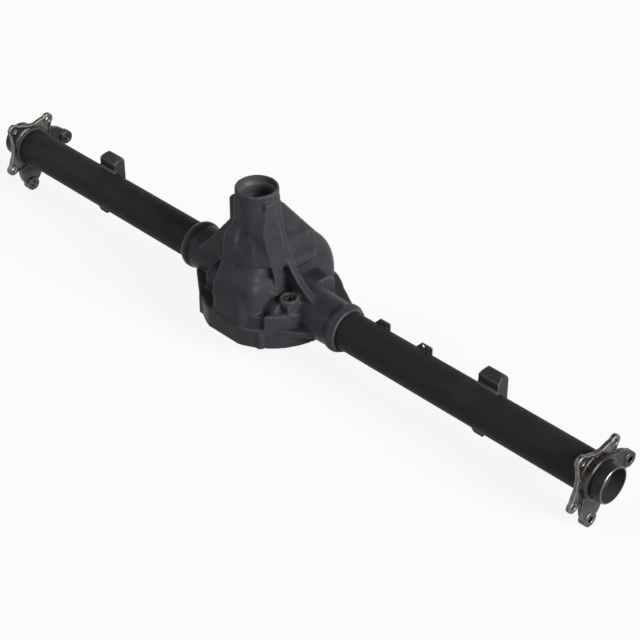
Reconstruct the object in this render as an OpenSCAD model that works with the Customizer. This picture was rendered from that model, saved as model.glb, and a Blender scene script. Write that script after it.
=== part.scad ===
// Rear axle housing with a ribbed carrier casting, in millimetres.
// X runs along the tubes to the right, Z along the pinion, Y towards the springs.
// The origin is on the axle's centreline, where the middle plane of the casting crosses it.

/* [Tubes] */
// Outside diameter of the axle tubes
tube_d = 76.2; // [70:0.1:84]
// Wall of the axle tubes
tube_wall = 6.4; // [4:0.1:9]
// Distance between the inboard faces of the two brake flanges
flange_span = 1528; // [1300:1:1800]
// Distance of the axle's middle from the pinion, to the right
mid_x = 22; // [0:1:40]

/* [Tube ends] */
// Outside diameter of the bearing stubs
stub_d = 73; // [70:0.1:74]
// Length of a stub, from the inboard face of its brake flange
stub_len = 46; // [40:0.5:60]
// Diameter of the wheel bearing's bore
bearing_d = 66; // [58:0.1:67]
// Depth of the wheel bearing's bore
bearing_depth = 27; // [20:0.5:32]
// Bore for the axle shaft
shaft_bore_d = 48; // [40:0.5:52]
// Length of the stub's spigot inside the tube
spigot_len = 30; // [20:1:50]

/* [Brake flanges] */
// Thickness of the plate with the three thin lobes
lobe_t = 9; // [8:0.5:11]
// Radius of the circle through the holes of the thin lobes
lobe_ring_r = 66; // [62:0.5:72]
// Radius of the rounded end of a thin lobe
lobe_end_r = 13; // [11:0.5:15]
// Holes in the thin lobes
lobe_hole_d = 10.5; // [8:0.1:13]
// Radius of the circle through the caliper holes
arm_ring_r = 92; // [88:0.5:98]
// Radius of the rounded end of a caliper arm
arm_end_r = 15; // [13:0.5:18]
// Thickness of the caliper arms at their ends
arm_t = 17; // [14:0.5:20]
// Reach of the caliper arms behind the inboard face of the plate
arm_back = 3; // [1:0.5:5]
// Caliper holes
arm_hole_d = 13; // [10:0.1:16]
// Outside diameter of the hub round the stub
hub_d = 87; // [84:0.5:92]
// Height of the hub above the inboard face of the plate
hub_h = 23; // [20:0.5:28]
// Depth of the pockets on each side of the plate
pocket_depth = 2.5; // [1:0.5:3]
// Width of the raised rim round the plate
rim_w = 5; // [3:0.5:7]

/* [Casting] */
// Height of the nose's rim above the axle's centreline
nose_h = 237; // [225:1:250]
// Drop of the pinion below the axle's centreline
pinion_drop = 30; // [20:1:38]
// Outside diameter of the nose at its rim
nose_d = 83.2; // [80:0.2:90]
// Distance of the cover's joint face from the axle's centreline
face_z = 55; // [54:0.5:62]
// Radius of the cover flange
skirt_r = 137.5; // [134:0.5:145]
// Offset of the cover flange's centre towards the springs
skirt_y = 6; // [0:0.5:12]
// Height of the skirt above the joint face
skirt_h = 41; // [34:0.5:46]
// Distance of the skirt's flat from the axle's centreline
flat_y = 125; // [123:0.5:129]
// Radius of the ring-gear dome, about a line beside the axle
dome_r = 129; // [127:0.5:131]
// Reach of the dome to the right of the middle plane
dome_right = 53; // [50:0.5:56]
// Reach of the dome to the left of the middle plane
dome_left = 43; // [40:0.5:48]
// Rounding of the dome's edges
dome_edge_r = 24; // [16:0.5:28]
// Distance from the middle plane to the outer end of a tube boss
boss_end = 212; // [200:1:230]
// Wall of a tube boss round its tube
boss_wall = 8; // [6:0.5:12]
// Length of the collar at the outer end of a tube boss
collar_len = 20; // [14:0.5:30]
// Height of the collar above the boss
collar_h = 2.6; // [1.5:0.1:5]
// Thickness of the gussets between the nose and the tube bosses
gusset_t = 16; // [10:0.5:22]
// Width of the pilasters on the front and the right of the nose
pilaster_w = 34; // [26:0.5:40]
// Reach of the oil passage beside the nose
oil_reach = 28; // [22:0.5:36]
// Thickness of the horizontal webs beside the tube bosses
web_t = 12; // [8:0.5:18]
// Thickness of the casting's wall over the opening
roof_t = 9; // [7:0.5:11]
// Radius of the opening in the joint face
opening_r = 109; // [100:0.5:110]
// Radius of the ring gear's room, about the dome's line
ring_room_r = 118; // [112:0.5:119]

/* [Casting bores] */
// Bore for the pinion's seal, at the mouth of the nose
seal_d = 73; // [68:0.1:74]
// Depth of the seal's bore
seal_depth = 14; // [8:0.5:20]
// Bore for the outer pinion bearing
outer_cup_d = 64; // [58:0.1:66]
// Length of the outer bearing's bore, below the seal
outer_cup_len = 24; // [16:0.5:30]
// Bore for the inner pinion bearing
inner_cup_d = 84; // [76:0.1:86]
// Height of the inner bearing's shoulder above the axle
inner_cup_z = 112; // [105:0.5:118]
// Bore for the pinion's shank
shank_d = 46; // [40:0.5:50]
// Bore for the differential bearings
diff_bore_d = 78; // [74:0.1:82]
// Number of cover bolts
cover_bolts = 10; // [8:1:12]
// Radius of the cover bolts' circle
cover_bolt_r = 122; // [118:0.5:123]
// Tapped holes for the cover bolts
cover_hole_d = 7; // [5:0.1:9]
// Depth of the cover's bolt holes, clear of the tubes
cover_hole_depth = 15; // [10:0.5:16]

/* [Bearing caps] */
// Distance from the middle plane to the middle of a bearing cap
cap_x = 74; // [72:0.5:77]
// Width of a bearing cap along the axle
cap_w = 26; // [22:0.5:28]
// Thickness of a bearing cap over its bearing
cap_t = 13; // [10:0.5:15]
// Distance of the cap bolts from the axle's centreline
cap_bolt_y = 56; // [54:0.5:60]
// Diameter of the cap bolts
cap_bolt_d = 12; // [10:0.5:14]
// Height of the bearing caps' ears
ear_h = 22; // [16:0.5:26]
// Depth of the cap bolts in the casting
cap_bolt_in = 26; // [20:0.5:28]
// Gap round the bearing caps inside the casting
cap_gap = 2; // [1:0.5:4]
// Height of the saddle blocks above the axle's centreline
saddle_h = 36; // [32:0.5:44]

/* [Fill plug] */
// Diameter of the fill plug
plug_d = 24; // [18:0.5:26]
// Width of the square boss round the plug
plug_boss_w = 30; // [26:0.5:34]
// Height of the shelf below the plug, above the skirt
shelf_h = 24; // [20:0.5:30]
// Height of the boss's top above the axle's centreline
plug_top = 46; // [42:0.5:52]

/* [Spring seats] */
// Half the distance between the spring seats
seat_x = 521; // [460:1:600]
// Distance of the spring seats' middle from the pinion, to the right
seat_mid = 16; // [0:1:40]
// Width of a spring seat along the axle
seat_w = 48; // [44:0.5:70]
// Gap between the tube and the spring pad's sheet
pad_gap = 1; // [0.5:0.5:6]
// Height of the seat's lower edge above the axle's centreline
seat_low = 16; // [10:0.5:20]
// Length of the spring pad, across the axle
pad_len = 131; // [120:1:150]
// Spread of each end wall between the lower edge and the pad
seat_flare = 10; // [6:0.5:14]
// Sheet thickness of a spring seat
seat_t = 5; // [3:0.5:7]
// Rounding of the seat's corners
seat_corner = 12; // [8:0.5:16]
// Hole for the spring's centre bolt
pad_hole_d = 16; // [12:0.5:20]

/* [Rear tabs] */
// Width of a rear tab along the axle
tab_w = 28; // [20:0.5:40]
// Reach of a rear tab behind the tube
tab_out = 24.5; // [18:0.5:28]
// Thickness of a rear tab across the axle
tab_t = 16; // [12:0.5:20]
// Distance of a rear tab's middle from its seat's middle, to the left
tab_shift = 5; // [0:0.5:7]
// Distance of a rear tab's front face from the axle's centreline, towards the springs
tab_y = 0; // [-4:0.5:4]

/* [Hose brackets] */
// Distance of the inner hose bracket from the middle plane
bracket_a = 270; // [250:1:290]
// Distance of the outer hose bracket from the middle plane
bracket_b = 374; // [350:1:420]
// Length of a hose bracket's foot along the tube
bracket_len = 39; // [34:0.5:50]
// Distance of a hose bracket's plate from the axle's centreline
bracket_y = 29; // [26:0.5:31]
// Height of a hose bracket's top above the axle's centreline
bracket_top = 40.5; // [39:0.5:46]
// Sheet thickness of a hose bracket
bracket_t = 3; // [2:0.1:4]
// Hole in a hose bracket
bracket_hole_d = 6.5; // [5:0.1:7]

/* [Welds] */
// Leg of the weld beads
weld = 5; // [3:0.5:6]
// Diameter of a plug weld
plug_weld_d = 18; // [12:0.5:22]

/* [Hidden] */
$fn = 64;
// Overshoot of a cut past the face that it opens
over = 1;
tube_r = tube_d / 2;
tube_bore_r = tube_r - tube_wall;
stub_r = stub_d / 2;
right_face = mid_x + flange_span / 2;
left_face = flange_span / 2 - mid_x;
boss_r = tube_r + boss_wall;
collar_r = boss_r + collar_h;
nose_r = nose_d / 2;
skirt_top = skirt_h - face_z;
diff_r = diff_bore_d / 2;
// The tubes end inside the casting just outside the bearing saddles
tube_in = cap_x + cap_w / 2 + 13;
cap_r = diff_r + cap_t;
ear_y = cap_bolt_y + cap_bolt_d / 2 + 8;
hub_r = hub_d / 2;
washer_d = cap_bolt_d * 1.9;
seal_z = nose_h - seal_depth;
outer_cup_z = seal_z - outer_cup_len;
pad_y = tube_r + pad_gap + seat_t;
right_seat = seat_mid + seat_x;
left_seat = seat_mid - seat_x;
plug_x = boss_end - 111;
plug_y = -boss_r - 2;
// Front of the pilaster on the right of the nose
pilaster_y = -pinion_drop - 20;

// Outer edge of the long web behind the tube bosses, from the boss to the skirt
web_back = [[boss_end - 24, 0], [boss_end - 24, boss_r - 3], [boss_end - 66, skirt_r * 0.575],
    [skirt_r * 0.705, skirt_r * 0.771], [skirt_r * 0.364, skirt_r * 0.96]];

// Angles of the flange's lobes and arms, from the spring side towards the pinion
lobe_angles = [44, 129, 216];
arm_angles = [265, 350];

// Points on an arc about c, from angle a0 to a1
function arc(c, r, a0, a1, n = 8) = [for (i = [0:n]) let (a = a0 + (a1 - a0) * i / n)
    c + r * [cos(a), sin(a)]];
// Points on a curve that leaves p towards q and arrives at s from q
function bend(p, q, s, n = 10) = [for (i = [0:n]) let (t = i / n)
    (1 - t) * (1 - t) * p + 2 * t * (1 - t) * q + t * t * s];

// A flat outline in X and Z, given its thickness from y0 to y1
module slab_xz(y0, y1) {
    translate([0, y1, 0]) rotate([90, 0, 0]) linear_extrude(y1 - y0) children();
}
// A flat outline in Y and Z, given its thickness from x0 to x1
module slab_yz(x0, x1) {
    translate([x0, 0, 0]) rotate([90, 0, 90]) linear_extrude(x1 - x0) children();
}
// A rod along X, from x0 to x1
module rod_x(r, x0, x1) {
    translate([x0, 0, 0]) rotate([0, 90, 0]) cylinder(r = r, h = x1 - x0);
}
// A body turned about the X axis, from a profile of radius and station
module turned_x(profile) {
    rotate([0, 90, 0]) rotate_extrude() polygon(profile);
}
// Everything above the height z
module above(z, reach = 400) {
    translate([-reach, -reach, z]) cube([2 * reach, 2 * reach, reach]);
}

// Carrier casting

// The nose, turned about the pinion: a neck, a cone and a foot inside the dome
module nose() {
    body_r = nose_r + 1.4;
    cone_top = nose_h - 89;
    profile = [[0, 0], [body_r + 22, 0], [body_r + 18, cone_top - 64], [body_r + 14, cone_top - 31],
        [body_r + 2, cone_top - 3], [body_r, cone_top + 4], [body_r, nose_h - 22], [nose_r, nose_h - 20],
        [nose_r, nose_h - 1.5], [nose_r - 1.5, nose_h], [0, nose_h]];
    translate([0, -pinion_drop, 0]) rotate_extrude() polygon(profile);
}
// The steep shoulder between the cone's front and the right pilaster
module nose_shoulder() {
    low = nose_h - 134;
    high = nose_h - 44;
    front = 2 - nose_r - pinion_drop;
    intersection() {
        translate([0, -pinion_drop, low]) cylinder(r1 = nose_r + 17.5, r2 = nose_r, h = high - low);
        translate([8, front, low]) cube([nose_r + 8, pilaster_y + 2 - front, high - low]);
    }
}
// The dome over the ring gear, turned about the line that the cover flange is centred on
module dome() {
    e = dome_edge_r;
    profile = concat(
        [[0, -dome_left], [dome_r - e, -dome_left]],
        arc([dome_r - e, -dome_left + e], e, -90, 0),
        arc([dome_r - e, dome_right - e], e, 0, 90),
        [[0, dome_right]]);
    intersection() {
        translate([0, skirt_y, 0]) turned_x(profile);
        above(skirt_top - 10);
    }
}
// The web that runs from the back of the nose down to the dome
module back_web() {
    top = nose_h - 42;
    slab_yz(-28, 30) polygon([[-pinion_drop, 0], [-pinion_drop, top], [nose_r - pinion_drop, top],
        [skirt_y + dome_r * cos(46), dome_r * sin(46)], [skirt_y + dome_r * cos(60) / 2, 0]]);
}
// The cover flange with its flat
module skirt() {
    intersection() {
        translate([0, skirt_y, -face_z]) cylinder(r = skirt_r, h = skirt_h);
        translate([-skirt_r, -flat_y, -face_z]) cube([2 * skirt_r, 2 * skirt_r + flat_y, skirt_h]);
    }
}
// A boss for one tube, with its collar; its root starts inside the dome's nearer side
module tube_boss() {
    root = min(cap_x - cap_w, dome_left - 4);
    root_r = min(boss_r + 14, face_z - 3);
    profile = [[0, root], [root_r, root], [root_r - 4, tube_in], [boss_r, tube_in + 34],
        [boss_r - 1, boss_end - collar_len - 3], [collar_r - 1, boss_end - collar_len],
        [collar_r, boss_end - collar_len + 2], [collar_r, boss_end - 9], [collar_r - 2, boss_end - 7],
        [collar_r - 4, boss_end - 1.5], [collar_r - 5.5, boss_end], [0, boss_end]];
    turned_x(profile);
}
// The block over one bearing saddle, rounded at its shoulders
module saddle() {
    r = 20;
    y = ear_y + cap_gap + roof_t;
    slab_yz(dome_left - 12, cap_x + cap_w / 2 + roof_t) polygon(concat([[y, skirt_top - 4]],
        arc([y - r, saddle_h - r], r, 0, 90), arc([r - y, saddle_h - r], r, 90, 180),
        [[-y, skirt_top - 4]]));
}
// The pilaster on the right of the nose and the gusset that sweeps down to the tube boss
module right_gusset() {
    top = nose_h - 15;
    inner = nose_r - 12;
    y = pilaster_y;
    slab_xz(y, y + pilaster_w) polygon([[inner, 20], [inner, top], [nose_r + 3, top],
        [nose_r + 4.5, top - 2], [nose_r + 2, top - 58], [nose_r + 25, 68], [nose_r + 28, 20]]);
    rib = y + pilaster_w - 11;
    slab_xz(rib, rib + gusset_t) polygon(concat([[inner, 0], [inner, top - 2]],
        bend([nose_r + 5, top - 2], [nose_r + 9, boss_r + 26], [boss_end - 40, boss_r - 18], 12),
        [[boss_end - 40, 0]]));
}
// The oil passage and the gusset on the left of the nose
module left_gusset() {
    out = nose_r + oil_reach;
    top = nose_h - 42;
    y = -pinion_drop;
    foot = collar_len * 2.35 - boss_end;
    slab_xz(y - 9, y + 13) polygon(concat([[-30, 20], [-30, top]],
        arc([-out + 14, top - 14], 14, 90, 180),
        bend([-out, top - 57], [-out - oil_reach * 1.2, boss_r * 2.1], [foot, boss_r / 2], 8), [[foot, 0]]));
}
// The pilaster down the front of the nose, narrow at the top and lost in the dome below
module front_pilaster() {
    y = -pinion_drop;
    w = pilaster_w;
    intersection() {
        slab_yz(-w, w) polygon([[y, 20], [y, nose_h - 8], [y - nose_r - 0.5, nose_h - 8],
            [y - nose_r - 1, nose_h - 68], [y - nose_r - 16, nose_h - 96], [y - nose_r - 19, 94],
            [y - nose_r - 42, 54], [y - nose_r - 50, 20]]);
        slab_xz(-2 * skirt_r, 0) polygon([[-w * 0.55, nose_h], [-w * 0.62, nose_h - 60], [-w, nose_h - 96],
            [-w, 20], [0, 20], [0, nose_h - 96], [-4, nose_h]]);
    }
}
// The horizontal webs between the skirt and the tube bosses, and the lug at the front left
module side_webs() {
    z = skirt_top - web_t + 1.5;
    out = boss_end - 53;
    translate([0, 0, z]) linear_extrude(web_t) polygon([[-95, -100], [-out, -boss_r - 4], [-out, 0],
        [out, 0], [out, -boss_r + 2], [92, -93], [0, -60]]);
    translate([0, 0, z]) linear_extrude(web_t) polygon(concat([[-skirt_r, 0]],
        [for (p = web_back) [-p[0], p[1]]], [for (i = [len(web_back) - 1:-1:0]) web_back[i]],
        [[skirt_r, 0]]));
    translate([0, 0, -face_z]) linear_extrude(skirt_h) polygon([[-56, -112], [-88, -107], [-96, -99],
        [-110, -60], [-60, -60]]);
}
// Ribs on the right side of the dome, and the slanted pad on its shoulder
module dome_ribs() {
    z = boss_r + 27;
    for (p = [[dome_right - 4, z, 15, 54], [dome_right, z - 54, 13, 62]]) translate([p[0], 2, p[1]]) {
        rotate([-90, 0, 0]) cylinder(r = p[2], h = p[3]);
        translate([0, p[3], 0]) sphere(r = p[2]);
    }
    slab_xz(skirt_y + 12, skirt_y + 52) polygon([[0, dome_r - 40], [0, dome_r + 2],
        [dome_right - 23, dome_r + 2], [dome_right - 5, dome_r - 9], [dome_right - 3, dome_r - 40]]);
}
// The shelf above the skirt at the front right, the step under the plug and the cheek beside the dome
module shelf() {
    low = skirt_top - 6;
    x0 = dome_right - 14;
    x1 = plug_x - plug_boss_w / 2 - 2;
    wide = skirt_r + over;
    intersection() {
        translate([0, skirt_y, low]) cylinder(r = skirt_r - 11, h = shelf_h + 6);
        translate([x0, -wide, low - over]) cube([wide, wide - 4, shelf_h + 8]);
    }
    intersection() {
        translate([0, skirt_y, low]) cylinder(r = skirt_r - 2, h = shelf_h + 14);
        translate([x1, -wide, low - over]) cube([wide, wide - boss_r / 2, shelf_h + 16]);
    }
    intersection() {
        translate([0, skirt_y, low]) cylinder(r1 = skirt_r - 14, r2 = skirt_r - 50, h = plug_top - low + 18);
        slab_xz(-wide, -boss_r + 6) polygon([[x0, low - over], [x0, plug_top + 12], [x0 + 20, plug_top + 6],
            [plug_x, plug_top - 16], [plug_x, low - over]]);
    }
}
// The square boss of the fill plug, round at the top
module plug_boss() {
    w = plug_boss_w;
    low = skirt_top + shelf_h;
    translate([plug_x - w / 2, plug_y - w / 2, low]) cube([w, w, plug_top - 8 - low]);
    translate([plug_x, plug_y, plug_top - 12]) cylinder(r1 = w / 2 + 4.5, r2 = w / 2 + 3.5, h = 12);
}
// The two dowel bosses on the rim of the cover flange
module dowel_bosses() {
    for (a = [-54, 126]) translate([0, skirt_y, -face_z]) rotate(a) translate([skirt_r - 5, 0, 0])
        cylinder(r = 9, h = skirt_h - 6);
}
module casting_outside() {
    nose();
    nose_shoulder();
    dome();
    back_web();
    skirt();
    tube_boss();
    mirror([1, 0, 0]) tube_boss();
    saddle();
    mirror([1, 0, 0]) saddle();
    right_gusset();
    left_gusset();
    front_pilaster();
    side_webs();
    dome_ribs();
    shelf();
    plug_boss();
    dowel_bosses();
}
// The room for the gears and the bearing caps, open at the rear
module casting_room() {
    cap_out = cap_x + cap_w / 2 + cap_gap;
    cap_side = ear_y + cap_gap;
    translate([0, skirt_y, -face_z - over]) cylinder(r = opening_r, h = skirt_h - roof_t + over);
    translate([0, skirt_y, 0]) rod_x(ring_room_r, -dome_left + 10, dome_right - 10);
    translate([-cap_out, -cap_side, -face_z - over]) cube([2 * cap_out, 2 * cap_side, face_z + over]);
    rod_x(boss_r - 2, cap_w / 2 - cap_x, cap_x - cap_w / 2);
    rod_x(diff_r, -cap_x - cap_w / 2, cap_x + cap_w / 2);
}
module pinion_bores() {
    translate([0, -pinion_drop, 0]) {
        cylinder(d = inner_cup_d, h = inner_cup_z);
        cylinder(d = shank_d, h = nose_h);
        translate([0, 0, outer_cup_z]) cylinder(d = outer_cup_d, h = outer_cup_len + over);
        translate([0, 0, seal_z]) cylinder(d = seal_d, h = seal_depth + over);
    }
}
module cap_bolt_places() {
    for (y = [-1, 1] * cap_bolt_y) translate([cap_x, y, 0]) children();
}
module plug_weld_places() {
    for (s = [-1, 1], a = [45, 225]) translate([s * (boss_end - 34), 0, 0]) rotate([a, 0, 0])
        translate([0, 0, tube_r - over]) children();
}
module casting_bores() {
    pinion_bores();
    for (s = [0, 1]) mirror([s, 0, 0]) {
        rod_x(tube_r, tube_in, boss_end + over);
        rod_x(shaft_bore_d / 2, cap_x, tube_in + over);
        cap_bolt_places() translate([0, 0, -over]) cylinder(d = cap_bolt_d, h = cap_bolt_in + over);
    }
    for (i = [0:cover_bolts - 1]) translate([0, skirt_y, -face_z - over])
        rotate(-90 + 360 * (i + 0.5) / cover_bolts)
            translate([cover_bolt_r, 0, 0]) cylinder(d = cover_hole_d, h = cover_hole_depth + over);
    translate([plug_x, plug_y, plug_top - 22]) cylinder(d = plug_d, h = 22 + over);
    plug_weld_places() cylinder(d = plug_weld_d, h = boss_wall + 20);
}
module carrier_casting() {
    color("#393a3e") difference() {
        casting_outside();
        casting_room();
        casting_bores();
    }
}
// Fill plug with a square socket
module fill_plug() {
    socket = plug_d * 0.4;
    color("#4a4a4c") translate([plug_x, plug_y, plug_top - 22]) difference() {
        cylinder(d = plug_d, h = 18);
        translate([-socket / 2, -socket / 2, 8]) cube([socket, socket, 10 + over]);
    }
}

// Bearing caps

module bearing_cap() {
    difference() {
        union() {
            intersection() {
                rod_x(cap_r, cap_x - cap_w / 2, cap_x + cap_w / 2);
                translate([0, -cap_r, -cap_r]) cube([2 * cap_x, 2 * cap_r, cap_r]);
            }
            translate([cap_x - cap_w / 2, -ear_y, -ear_h]) cube([cap_w, 2 * ear_y, ear_h]);
        }
        rod_x(diff_r, 0, 2 * cap_x);
        cap_bolt_places() translate([0, 0, -ear_h - over]) cylinder(d = cap_bolt_d, h = ear_h + 2 * over);
        cap_bolt_places() translate([0, 0, -cap_r]) cylinder(d = washer_d + 1, h = cap_r - ear_h);
    }
}
module cap_bolts() {
    cap_bolt_places() {
        translate([0, 0, -ear_h]) cylinder(d = cap_bolt_d, h = ear_h + cap_bolt_in);
        translate([0, 0, -ear_h - 2]) cylinder(d = washer_d, h = 2);
        translate([0, 0, -ear_h - 10]) cylinder(d = cap_bolt_d * 1.6, h = 8, $fn = 6);
    }
}
module right_bearing_cap() { color("#4b4c50") bearing_cap(); }
module left_bearing_cap() { color("#4b4c50") mirror([1, 0, 0]) bearing_cap(); }
module right_cap_bolts() { color("#6a6a6c") cap_bolts(); }
module left_cap_bolts() { color("#6a6a6c") mirror([1, 0, 0]) cap_bolts(); }

// Tubes, from the casting to the brake flanges

module tube(face) {
    difference() {
        rod_x(tube_r, tube_in, face);
        rod_x(tube_bore_r, tube_in - over, face + over);
    }
}
module right_tube() { color("#222223") tube(right_face); }
module left_tube() { color("#222223") mirror([1, 0, 0]) tube(left_face); }
// Plug welds that fill the holes through the bosses onto the tubes
module plug_welds() {
    color("#393a3e") difference() {
        intersection() {
            plug_weld_places() cylinder(d = plug_weld_d, h = boss_wall + 20);
            rod_x(boss_r + 0.6, -boss_end, boss_end);
        }
        rod_x(tube_r, -boss_end - over, boss_end + over);
    }
}
// A forged tube end: the spigot sits in the tube and the stub carries the flange
module tube_end(face) {
    end = face + stub_len;
    difference() {
        union() {
            rod_x(tube_bore_r, face - spigot_len, face);
            turned_x([[0, face], [stub_r, face], [stub_r, end - 1.5], [stub_r - 1.5, end], [0, end]]);
        }
        rod_x(shaft_bore_d / 2, face - spigot_len - over, end + over);
        rod_x(bearing_d / 2, end - bearing_depth, end + over);
    }
}
module right_tube_end() { color("#2c2c2e") tube_end(right_face); }
module left_tube_end() { color("#2c2c2e") mirror([1, 0, 0]) tube_end(left_face); }

// Brake flanges

// Height of a lobe's shoulder at angle d from its middle line, falling smoothly to nothing
function lobe(d, width) = abs(d) < width ? pow(cos(90 * d / width), 2) : 0;
function turn(a) = ((a + 540) % 360) - 180;
// An outline with a round middle of radius base and a lobe at each of the angles
module lobed(base, reach, angles, width) {
    polygon([for (i = [0:143]) let (a = i * 2.5)
        (base + (reach - base) * max([for (b = angles) lobe(turn(a - b), width)])) * [cos(a), sin(a)]]);
}
module plate_outline(inset = 0) {
    lobed(tube_r + 12 - inset, lobe_ring_r + 4 - inset, lobe_angles, 36);
}
// A pad at each of the given angles of the flange
module flange_pads(angles, ring_r, r, x0, x1) {
    for (a = angles) translate([0, ring_r * cos(a), ring_r * sin(a)]) rod_x(r, x0, x1);
}
// The sunk face of the plate, between its rim, the bosses of its holes and the hub
module flange_pocket(x0, x1) {
    difference() {
        slab_yz(x0, x1) plate_outline(rim_w);
        rod_x(hub_r, x0 - over, x1 + over);
        flange_pads(lobe_angles, lobe_ring_r, lobe_hole_d / 2 + 3, x0 - over, x1 + over);
    }
}
module brake_flange(face) {
    arm_x = face - arm_back;
    top = face + hub_h;
    difference() {
        union() {
            difference() {
                union() {
                    slab_yz(face, face + lobe_t) plate_outline();
                    flange_pads(lobe_angles, lobe_ring_r, lobe_end_r, face, face + lobe_t);
                }
                flange_pocket(face - over, face + pocket_depth);
                flange_pocket(face + lobe_t - pocket_depth, face + lobe_t + over);
            }
            slab_yz(face + 2, arm_x + arm_t - 2) lobed(hub_r - 2, arm_ring_r + 4, arm_angles, 50);
            flange_pads(arm_angles, arm_ring_r, arm_end_r, arm_x, arm_x + arm_t);
            turned_x([[0, face], [hub_r, face], [hub_r, top - 2.5], [hub_r - 2.5, top], [0, top]]);
        }
        rod_x(stub_r, face - over, top + over);
        flange_pads(lobe_angles, lobe_ring_r, lobe_hole_d / 2, face - over, face + lobe_t + over);
        flange_pads(arm_angles, arm_ring_r, arm_hole_d / 2, arm_x - over, arm_x + arm_t + over);
    }
}
module right_brake_flange() { color("#74706b") brake_flange(right_face); }
module left_brake_flange() { color("#74706b") mirror([1, 0, 0]) brake_flange(left_face); }
// A ring of weld between the tube and the flange
module flange_weld(face) {
    turned_x([[tube_r, face - weld], [tube_r + weld * 0.45, face - weld * 0.75],
        [tube_r + weld * 0.75, face - weld * 0.45], [tube_r + weld, face], [tube_r, face]]);
}
module right_flange_weld() { color("#55534f") flange_weld(right_face); }
module left_flange_weld() { color("#55534f") mirror([1, 0, 0]) flange_weld(left_face); }

// Spring seats

// The seat's outside, less the inset: flared ends and rounded corners
module seat_block(inset, low) {
    half_low = pad_len / 2 - seat_flare - inset;
    half_top = pad_len / 2 - inset;
    top = pad_y - inset;
    r = seat_corner - inset;
    w = seat_w / 2 - inset;
    intersection() {
        slab_yz(-w, w) polygon(concat([[low, half_low], [top - r, half_top]],
            arc([top - r, half_top - r], r, 90, 0, 5), arc([top - r, r - half_top], r, 0, -90, 5),
            [[low, -half_low]]));
        translate([0, low - over, 0]) rotate([-90, 0, 0]) linear_extrude(pad_y) union() {
            square([2 * w - 2 * r, 2 * half_top], center = true);
            square([2 * w, 2 * half_top - 2 * r], center = true);
            for (x = [-1, 1], z = [-1, 1]) translate([x * (w - r), z * (half_top - r)]) circle(r);
        }
    }
}
module spring_seat(x) {
    difference() {
        translate([x, 0, 0]) seat_block(0, seat_low);
        translate([x, 0, 0]) seat_block(seat_t, seat_low - over);
        rod_x(tube_r, x - seat_w, x + seat_w);
        translate([x, 0, 0]) rotate([-90, 0, 0]) cylinder(d = pad_hole_d, h = pad_y + over);
    }
}
module right_spring_seat() { color("#37383b") spring_seat(right_seat); }
module left_spring_seat() { color("#37383b") spring_seat(left_seat); }
// A bead along each lower edge of a seat, on the tube, with room for the rear tab
module seat_welds(x) {
    half = seat_w / 2 + 3;
    low = seat_low - 2.4 * weld;
    clear = tab_w / 2 + weld + 0.5;
    intersection() {
        difference() {
            rod_x(tube_r + weld * 0.5, x - half, x + half);
            rod_x(tube_r, x - half - over, x + half + over);
            translate([x - tab_shift - clear, -2 * tube_r, -2 * tube_r])
                cube([2 * clear, 4 * tube_r, 2 * tube_r]);
        }
        translate([x - seat_w, low, -2 * tube_r]) cube([2 * seat_w, seat_low - low, 4 * tube_r]);
    }
}
module right_seat_welds() { color("#4a4a4c") seat_welds(right_seat); }
module left_seat_welds() { color("#4a4a4c") seat_welds(left_seat); }

// Rear tabs, saddled on the tube behind each seat

module rear_tab(x) {
    low = tube_r + tab_out;
    half = tab_w / 2;
    difference() {
        slab_xz(tab_y, tab_y + tab_t) polygon([[x - half, 0], [x - half, -low + 6], [x - half + 6, -low],
            [x + half - 2, -low], [x + half, -low + 2], [x + half, 0]]);
        rod_x(tube_r, x - tab_w, x + tab_w);
        translate([x, 0, -tube_r - tab_out * 0.55]) rotate([90, 0, 0])
            cylinder(d = tab_out * 0.36, h = 4 * tab_t, center = true);
    }
}
module right_rear_tab() { color("#37383b") rear_tab(right_seat - tab_shift); }
module left_rear_tab() { color("#37383b") rear_tab(left_seat - tab_shift); }
module tab_welds(x) {
    intersection() {
        for (s = [-1, 1]) translate([x + s * tab_w / 2, 0, 0]) mirror([s < 0 ? 1 : 0, 0, 0])
            turned_x([[tube_r, 0], [tube_r + weld, 0], [tube_r + weld * 0.6, weld * 0.6], [tube_r, weld]]);
        translate([x - tab_w, tab_y, -2 * tube_r]) cube([2 * tab_w, tab_t, 2 * tube_r]);
    }
}
module right_tab_welds() { color("#4a4a4c") tab_welds(right_seat - tab_shift); }
module left_tab_welds() { color("#4a4a4c") tab_welds(left_seat - tab_shift); }

// Hose brackets: a standing plate on the tube's shoulder, cut off at one corner

module hose_bracket(x) {
    half = bracket_len / 2;
    difference() {
        slab_xz(bracket_y - bracket_t / 2, bracket_y + bracket_t / 2) polygon([[x - half, 0],
            [x - half, bracket_top - 15.5], [x - half + 14, bracket_top], [x + half - 1.5, bracket_top],
            [x + half, bracket_top - 1.5], [x + half, 0]]);
        rod_x(tube_r, x - bracket_len, x + bracket_len);
        for (d = [-2, 10]) translate([x + d, 0, bracket_top - 6.5]) rotate([-90, 0, 0])
            cylinder(d = bracket_hole_d, h = 2 * bracket_y);
    }
}
module inner_hose_bracket() { color("#37383b") hose_bracket(bracket_a); }
module outer_hose_bracket() { color("#37383b") hose_bracket(bracket_b); }
// A bead in front of each hose bracket's foot
module bracket_welds() {
    front = bracket_y - bracket_t / 2;
    foot = sqrt(tube_r * tube_r - front * front);
    color("#4a4a4c") for (x = [bracket_a, bracket_b]) difference() {
        translate([0, front, foot]) rod_x(weld, x - bracket_len / 2 + 4, x + bracket_len / 2 - 4);
        rod_x(tube_r, x - bracket_len, x + bracket_len, $fn = 192);
        translate([x - bracket_len, front, 0]) cube([2 * bracket_len, bracket_y, 2 * tube_r]);
    }
}

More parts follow.
